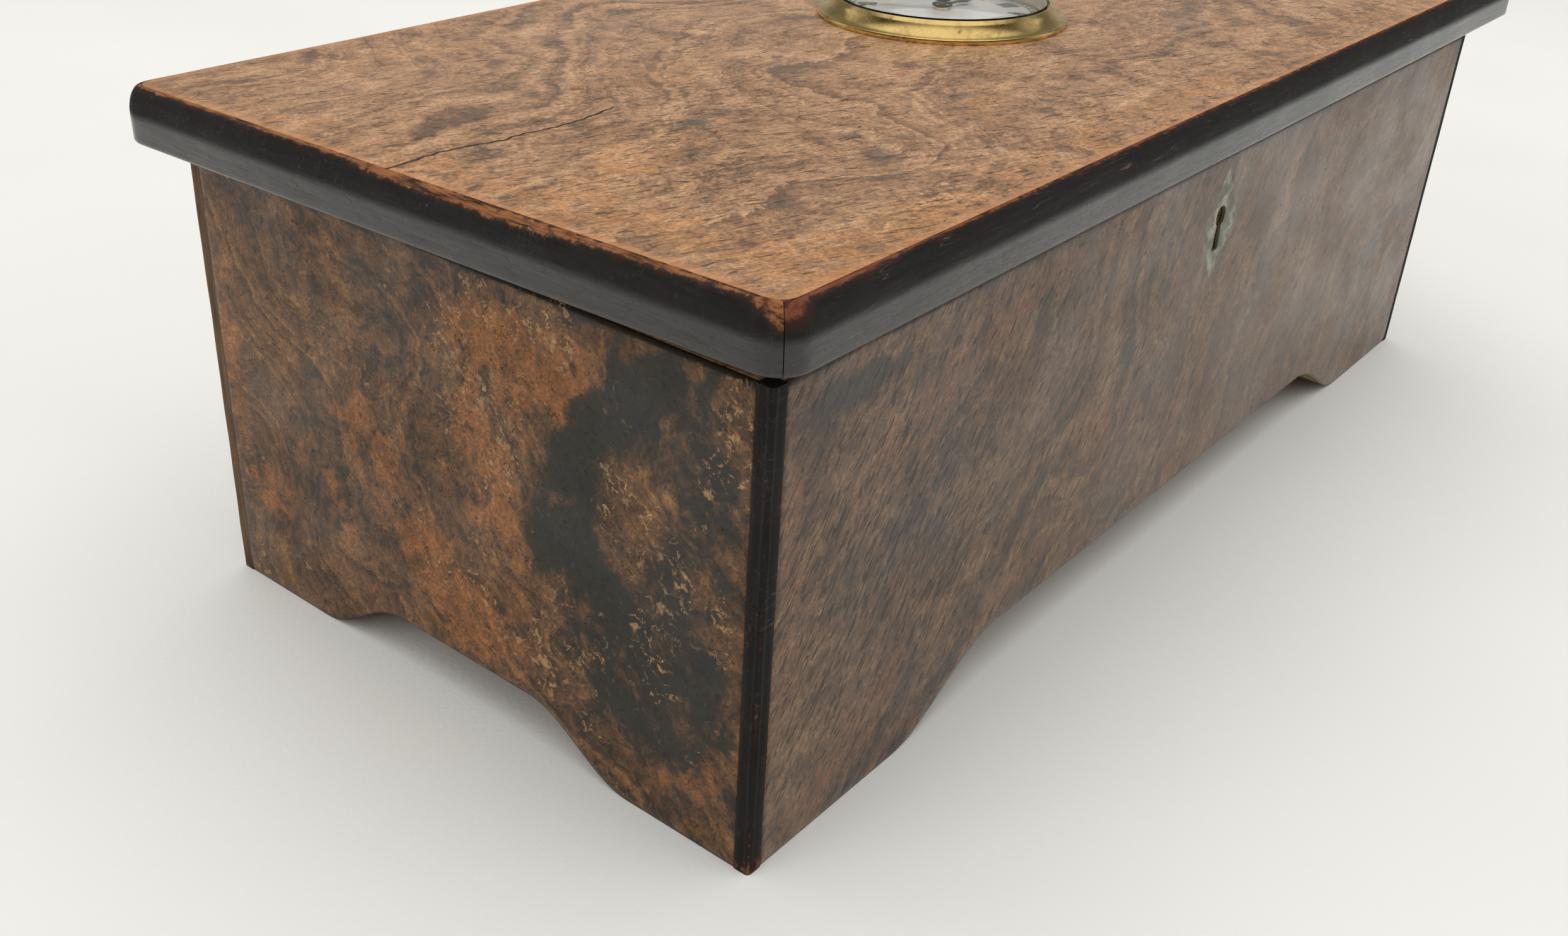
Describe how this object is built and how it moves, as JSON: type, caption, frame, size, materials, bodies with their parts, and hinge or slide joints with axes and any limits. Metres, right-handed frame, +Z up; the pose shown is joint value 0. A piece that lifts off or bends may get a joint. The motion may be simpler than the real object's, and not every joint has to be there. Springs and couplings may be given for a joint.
{
  "type": "clock lid box",
  "caption": "Rectangular burr-walnut veneered box on a shaped apron, with an overhanging ebonised-edged hinged lid, an inset round clock and a front lock.",
  "frame": {"origin": "on the surface that the box stands on, under the middle of its outline", "axes": "+X along the front towards its right end, +Y from the front to the hinged back, +Z up"},
  "size_m": [0.3304, 0.1625, 0.1167],
  "materials": {
    "carcase_wood": "planed, unpolished softwood",
    "front_veneer": "faded figured walnut veneer, old wax polish with a light haze",
    "side_veneer": "dark burr walnut veneer, satin polish",
    "lid_veneer": "faded burr walnut veneer, satin polish, worn at the edges",
    "lid_wood": "dark mahogany, oiled",
    "ebonised_wood": "black-stained wood, satin, rubbed through to brown at the edges",
    "lining_cloth": "cut velvet",
    "white_metal": "tarnished nickel silver, let in flush",
    "lock_brass": "aged brass",
    "bezel_brass": "polished brass, lightly tarnished",
    "clock_brass": "turned brass",
    "steel": "bright steel, dulled",
    "blued_steel": "blued",
    "enamel": "glossy white enamel with plain black hour figures",
    "clock_glass": "clear domed glass"
  },
  "bodies": {
    "box": {"carcase_front": "carcase_wood", "carcase_back": "carcase_wood", "carcase_left": "carcase_wood", "carcase_right": "carcase_wood", "bottom_board": "carcase_wood", "veneer_front": "front_veneer", "veneer_back": "front_veneer", "veneer_left": "side_veneer", "veneer_right": "side_veneer", "corner_strip_front_left": "ebonised_wood", "corner_strip_front_right": "ebonised_wood", "corner_strip_back_left": "ebonised_wood", "corner_strip_back_right": "ebonised_wood", "wall_lining": "lining_cloth", "floor_lining": "lining_cloth", "escutcheon": "white_metal", "lock_case": "lock_brass", "lock_top_plate": "lock_brass", "lock_screw_1": "lock_brass", "lock_screw_2": "lock_brass", "hinge_left_body_leaf": "lock_brass", "hinge_left_pin": "steel", "hinge_right_body_leaf": "lock_brass", "hinge_right_pin": "steel"},
    "bolt": {"lock_bolt": "steel"},
    "lid": {"lid_board": "lid_wood", "lid_veneer": "lid_veneer", "lid_edging_front": "ebonised_wood", "lid_edging_back": "ebonised_wood", "lid_edging_left": "ebonised_wood", "lid_edging_right": "ebonised_wood", "lid_lining": "lining_cloth", "link_plate": "lock_brass", "link_screw_1": "lock_brass", "link_screw_2": "lock_brass", "hinge_left_lid_leaf": "lock_brass", "hinge_right_lid_leaf": "lock_brass", "clock_bezel": "bezel_brass", "clock_glass": "clock_glass", "clock_case": "clock_brass", "clock_back_cover": "clock_brass", "clock_clamp_ring": "clock_brass", "clamp_screw_1": "clock_brass", "clamp_screw_2": "clock_brass", "clamp_screw_3": "clock_brass", "clock_dial": "enamel", "movement_front_plate": "clock_brass", "movement_back_plate": "clock_brass", "platform_escapement": "clock_brass"},
    "minute_arbor": {"minute_hand": "blued_steel", "cannon_pinion": "steel", "centre_wheel": "clock_brass", "hand_setting_knob": "clock_brass"},
    "hour_pipe": {"hour_hand": "blued_steel", "hour_wheel": "clock_brass"},
    "motion_wheel": {"minute_wheel": "clock_brass"},
    "third_arbor": {"third_wheel": "clock_brass"},
    "barrel": {"mainspring_barrel": "clock_brass"},
    "key": {"winding_key": "steel"}
  },
  "joints": [
    {"name": "lid_hinge", "type": "hinge", "parent": "box", "child": "lid", "pos_m": [0, 0.0751, 0.0952], "axis": [-1, 0, 0], "range_deg": [0, 100]},
    {"name": "bolt_slide", "type": "slide", "parent": "box", "child": "bolt", "axis": [-1, 0, 0], "range_m": [0, 0.002]},
    {"name": "minute_turn", "type": "hinge", "parent": "lid", "child": "minute_arbor", "pos_m": [0, 0.00382, 0.10978], "axis": [0, -0.0236, -0.9997], "continuous": true},
    {"name": "hour_turn", "type": "hinge", "parent": "lid", "child": "hour_pipe", "pos_m": [0, 0.00382, 0.10978], "axis": [0, -0.0236, -0.9997], "continuous": true},
    {"name": "motion_wheel_turn", "type": "hinge", "parent": "lid", "child": "motion_wheel", "pos_m": [0.0045, -0.00164, 0.10541], "axis": [0, -0.0236, -0.9997], "continuous": true},
    {"name": "third_wheel_turn", "type": "hinge", "parent": "lid", "child": "third_arbor", "pos_m": [0.00743, -0.00269, 0.09793], "axis": [0, -0.0236, -0.9997], "continuous": true},
    {"name": "barrel_turn", "type": "hinge", "parent": "lid", "child": "barrel", "pos_m": [-0.00954, 0.00007, 0.09787], "axis": [0, -0.0236, -0.9997], "continuous": true},
    {"name": "winding_key_turn", "type": "hinge", "parent": "lid", "child": "key", "pos_m": [-0.00954, 0.00007, 0.09787], "axis": [0, -0.0236, -0.9997], "continuous": true}
  ],
  "couplings": [
    {"joint": "hour_turn", "follows": "minute_turn", "ratio": 0.083333},
    {"joint": "motion_wheel_turn", "follows": "minute_turn", "ratio": -0.33333},
    {"joint": "third_wheel_turn", "follows": "minute_turn", "ratio": -7.5},
    {"joint": "barrel_turn", "follows": "minute_turn", "ratio": -0.15294}
  ]
}
